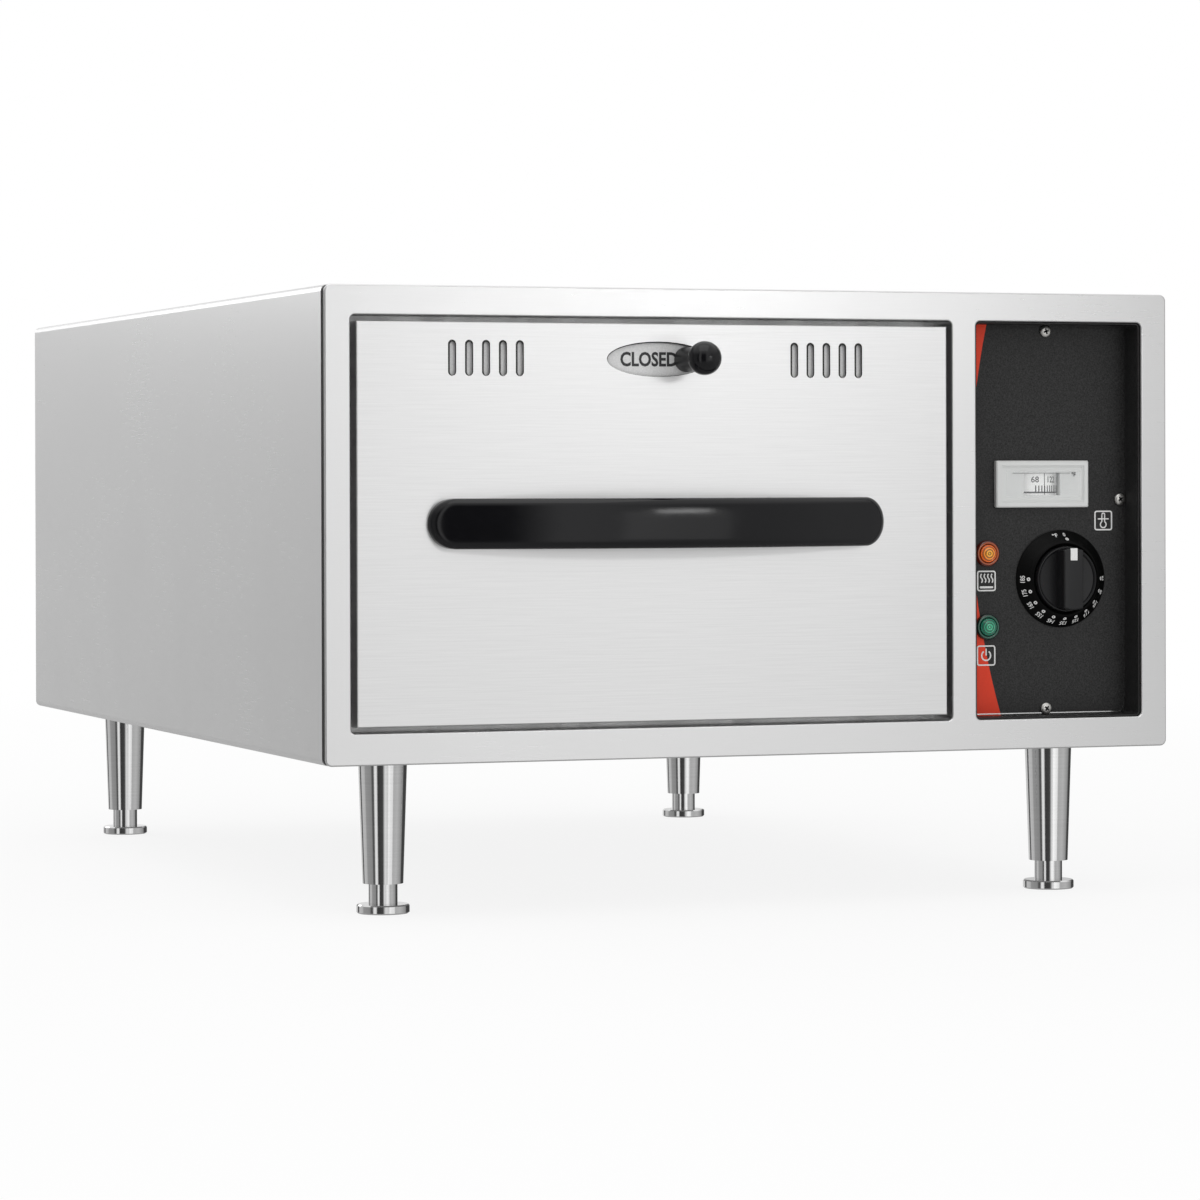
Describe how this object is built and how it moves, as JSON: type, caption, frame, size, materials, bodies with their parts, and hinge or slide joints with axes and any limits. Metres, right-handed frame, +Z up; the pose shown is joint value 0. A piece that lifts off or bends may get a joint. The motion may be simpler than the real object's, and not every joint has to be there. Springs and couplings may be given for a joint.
{
  "type": "warming drawer",
  "caption": "Stainless food-warming drawer on adjustable legs: insulated drawer with a black bow handle and sliding vent, recessed panel with thermostat knob, thermometer and lamps.",
  "frame": {"origin": "on the floor, under the centre of the outline seen from above", "axes": "+X to the right as a user faces the drawer, -Y out of the front, +Z up"},
  "size_m": [0.54, 0.803, 0.369],
  "materials": {
    "steel_satin": "satin stainless sheet",
    "steel_brushed": "brushed stainless sheet",
    "steel_polished": "polished stainless",
    "galvanised": "galvanised sheet",
    "zinc": "zinc plated",
    "black_metal": "matte charcoal paint, fine grain",
    "black_gloss": "moulded, glossy",
    "black_matte": "moulded, fine texture",
    "black_rubber": "silicone seal",
    "white_plastic": "moulded, light grey",
    "clear": "clear lens",
    "amber": "translucent amber",
    "green": "translucent green",
    "white_inlay": "inlay",
    "insulation": "mineral fibre batt",
    "element": "oxidised heater sheath",
    "copper": "copper",
    "bakelite": "moulded phenolic"
  },
  "bodies": {
    "cabinet": {"outer_casing": "steel_satin", "casing_seal": "black_rubber", "front_frame": "steel_satin", "rear_panel": "steel_satin", "base_pan": "galvanised", "chamber_liner": "galvanised", "insulation": "insulation", "control_bay_wall": "galvanised", "leg_nuts": "zinc", "heating_element": "element", "element_brackets": "galvanised", "thermostat_bulb": "copper", "control_panel": "black_metal", "panel_screws": "zinc", "thermometer_bezel": "white_plastic", "thermometer_lens": "clear", "thermometer_case": "white_plastic", "amber_lens": "amber", "green_lens": "green", "lamp_bodies": "bakelite", "dial_plate": "black_matte", "thermostat_body": "bakelite", "terminal_block": "bakelite", "cable_gland": "black_matte", "gland_nut": "black_matte", "leg_front_left": "steel_polished", "leg_front_right": "steel_polished", "leg_rear_left": "steel_polished", "leg_rear_right": "steel_polished", "slide_outer_left": "zinc", "slide_outer_right": "zinc"},
    "drawer": {"drawer_front": "steel_brushed", "drawer_inner_panel": "galvanised", "drawer_insulation": "insulation", "drawer_gasket": "black_rubber", "handle": "black_gloss", "handle_screws": "zinc", "vent_guides": "galvanised", "pan_carrier": "steel_satin", "food_pan": "steel_satin", "slide_inner_left": "zinc", "slide_inner_right": "zinc"},
    "vent_slider": {"vent_plate": "steel_brushed", "vent_stem": "black_matte", "vent_ball": "black_gloss"},
    "thermostat_knob": {"knob": "black_matte", "knob_pointer": "white_inlay", "thermostat_spindle": "zinc"},
    "thermometer_scale": {"thermometer_drum": "white_plastic"},
    "slide_middle_left": {"slide_middle_left": "zinc"},
    "slide_middle_right": {"slide_middle_right": "zinc"},
    "foot_front_left": {"foot_front_left": "steel_polished"},
    "foot_front_right": {"foot_front_right": "steel_polished"},
    "foot_rear_left": {"foot_rear_left": "steel_polished"},
    "foot_rear_right": {"foot_rear_right": "steel_polished"}
  },
  "joints": [
    {"name": "drawer_slide", "type": "slide", "parent": "cabinet", "child": "drawer", "axis": [0, -1, 0], "range_m": [0, 0.5]},
    {"name": "slide_left_extend", "type": "slide", "parent": "cabinet", "child": "slide_middle_left", "axis": [0, -1, 0], "range_m": [0, 0.25]},
    {"name": "slide_right_extend", "type": "slide", "parent": "cabinet", "child": "slide_middle_right", "axis": [0, -1, 0], "range_m": [0, 0.25]},
    {"name": "vent_slide", "type": "slide", "parent": "drawer", "child": "vent_slider", "axis": [-1, 0, 0], "range_m": [0, 0.0364]},
    {"name": "thermostat_turn", "type": "hinge", "parent": "cabinet", "child": "thermostat_knob", "pos_m": [0.2074, -0.3415, 0.1942], "axis": [0, 1, 0], "range_deg": [0, 270]},
    {"name": "thermometer_turn", "type": "hinge", "parent": "cabinet", "child": "thermometer_scale", "pos_m": [0.1948, -0.3232, 0.2526], "axis": [0, 0, 1], "range_deg": [-95, 50], "stiffness_Nm_per_rad": 0.01},
    {"name": "foot_front_left_screw", "type": "slide", "parent": "cabinet", "child": "foot_front_left", "axis": [0, 0, -1], "range_m": [-0.01, 0.015]},
    {"name": "foot_front_right_screw", "type": "slide", "parent": "cabinet", "child": "foot_front_right", "axis": [0, 0, -1], "range_m": [-0.01, 0.015]},
    {"name": "foot_rear_left_screw", "type": "slide", "parent": "cabinet", "child": "foot_rear_left", "axis": [0, 0, -1], "range_m": [-0.01, 0.015]},
    {"name": "foot_rear_right_screw", "type": "slide", "parent": "cabinet", "child": "foot_rear_right", "axis": [0, 0, -1], "range_m": [-0.01, 0.015]}
  ],
  "couplings": [
    {"joint": "slide_left_extend", "follows": "drawer_slide", "ratio": 0.5},
    {"joint": "slide_right_extend", "follows": "drawer_slide", "ratio": 0.5}
  ]
}
